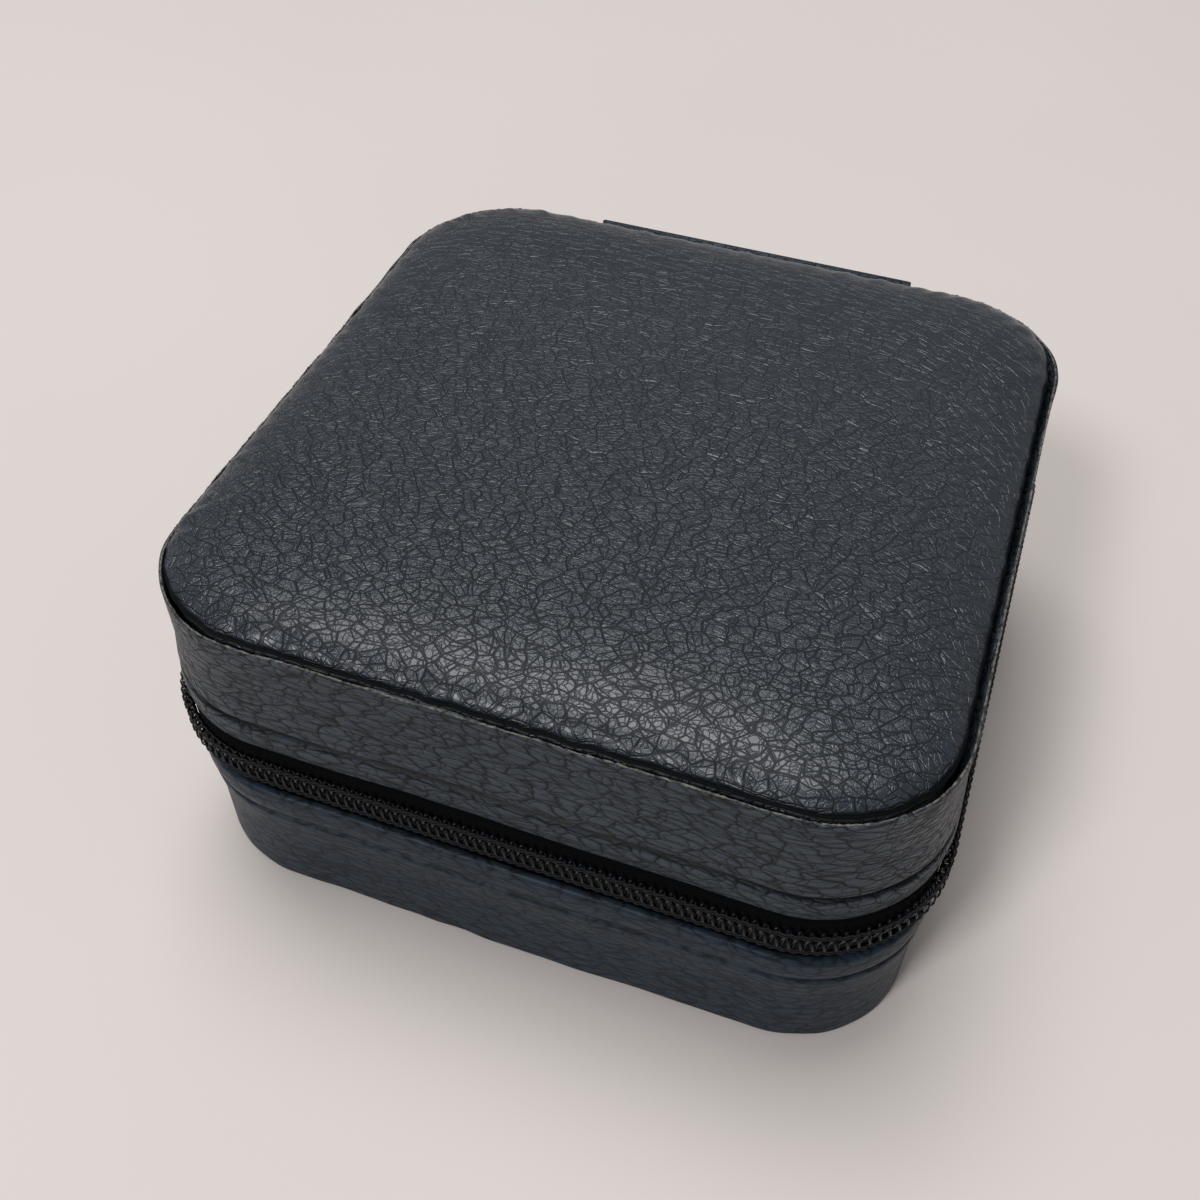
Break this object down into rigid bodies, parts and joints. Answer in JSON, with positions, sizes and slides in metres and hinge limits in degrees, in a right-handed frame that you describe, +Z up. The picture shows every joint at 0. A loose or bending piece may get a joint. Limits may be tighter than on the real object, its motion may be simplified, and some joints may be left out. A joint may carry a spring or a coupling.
{
  "type": "zipped jewellery case",
  "caption": "Small square jewellery case in padded pebble-grain leather, zipped round its sides, with ring rolls, dividers, a lid pocket and necklace straps.",
  "frame": {"origin": "middle of the flat underside, on the surface that the case rests on", "axes": "+Z up through the lid, +X to the right, -Y to the front, where the lid opens; the leather hinge is at the back, +Y"},
  "size_m": [0.107, 0.1034, 0.0518],
  "materials": {
    "navy_leather": "coated split leather, pebble grain, satin",
    "nylon_coil": "dyed nylon monofilament coil",
    "zip_tape": "woven polyester tape",
    "grey_velvet": "short-pile velvet on card or foam",
    "greyboard": "bookbinding greyboard",
    "foam": "open-cell polyurethane foam",
    "nickel": "nickel-plated pressed metal",
    "elastic": "covered elastic"
  },
  "bodies": {
    "base": {"base_frame": "greyboard", "base_side_leather": "navy_leather", "base_board": "greyboard", "base_bottom_leather": "navy_leather", "base_wall_lining": "grey_velvet", "base_floor_lining": "grey_velvet", "base_zip_tape": "zip_tape", "base_zip_coil": "nylon_coil", "base_top_stop": "nickel", "hinge_strap": "navy_leather", "partition": "grey_velvet", "ring_roll_1": "grey_velvet", "ring_roll_2": "grey_velvet", "ring_roll_3": "grey_velvet", "ring_roll_4": "grey_velvet", "ring_roll_5": "grey_velvet", "ring_roll_6": "grey_velvet", "ring_roll_7": "grey_velvet", "ring_roll_8": "grey_velvet"},
    "lid": {"lid_frame": "greyboard", "lid_side_leather": "navy_leather", "lid_board": "greyboard", "lid_foam": "foam", "lid_top_leather": "navy_leather", "lid_wall_lining": "grey_velvet", "lid_ceiling_lining": "grey_velvet", "lid_zip_tape": "zip_tape", "lid_zip_coil": "nylon_coil", "lid_top_stop": "nickel", "lid_pocket": "grey_velvet", "pocket_elastic": "elastic", "snap_stud_1": "nickel", "snap_stud_2": "nickel", "snap_stud_3": "nickel", "necklace_strap_end_1": "navy_leather", "necklace_strap_end_2": "navy_leather", "necklace_strap_end_3": "navy_leather"},
    "slider": {"zip_slider": "nickel"},
    "pull": {"zip_pull": "nickel"},
    "front_divider": {"divider_front": "grey_velvet"},
    "rear_divider": {"divider_rear": "grey_velvet"},
    "necklace_strap_1": {"necklace_strap_1": "navy_leather", "snap_cap_1": "nickel"},
    "necklace_strap_2": {"necklace_strap_2": "navy_leather", "snap_cap_2": "nickel"},
    "necklace_strap_3": {"necklace_strap_3": "navy_leather", "snap_cap_3": "nickel"}
  },
  "joints": [
    {"name": "lid_hinge", "type": "hinge", "parent": "base", "child": "lid", "pos_m": [0, 0.0518, 0.0267], "axis": [-1, 0, 0], "range_deg": [0, 165], "deforming": ["hinge_strap"]},
    {"name": "slider_travel", "type": "slide", "parent": "base", "child": "slider", "axis": [0, -1, 0], "range_m": [0, 0.056]},
    {"name": "pull_swing", "type": "hinge", "parent": "slider", "child": "pull", "pos_m": [-0.0535, 0.0251, 0.0267], "axis": [-1, 0, 0], "range_deg": [-50, 90]},
    {"name": "front_divider_lift", "type": "slide", "parent": "base", "child": "front_divider", "axis": [0, 0, 1], "range_m": [0, 0.0165]},
    {"name": "rear_divider_lift", "type": "slide", "parent": "base", "child": "rear_divider", "axis": [0, 0, 1], "range_m": [0, 0.0165]},
    {"name": "necklace_strap_1_open", "type": "hinge", "parent": "lid", "child": "necklace_strap_1", "pos_m": [-0.026, -0.0384, 0.0425], "axis": [-1, 0, 0], "range_deg": [0, 90]},
    {"name": "necklace_strap_2_open", "type": "hinge", "parent": "lid", "child": "necklace_strap_2", "pos_m": [0, -0.0384, 0.0425], "axis": [-1, 0, 0], "range_deg": [0, 90]},
    {"name": "necklace_strap_3_open", "type": "hinge", "parent": "lid", "child": "necklace_strap_3", "pos_m": [0.026, -0.0384, 0.0425], "axis": [-1, 0, 0], "range_deg": [0, 90]}
  ]
}
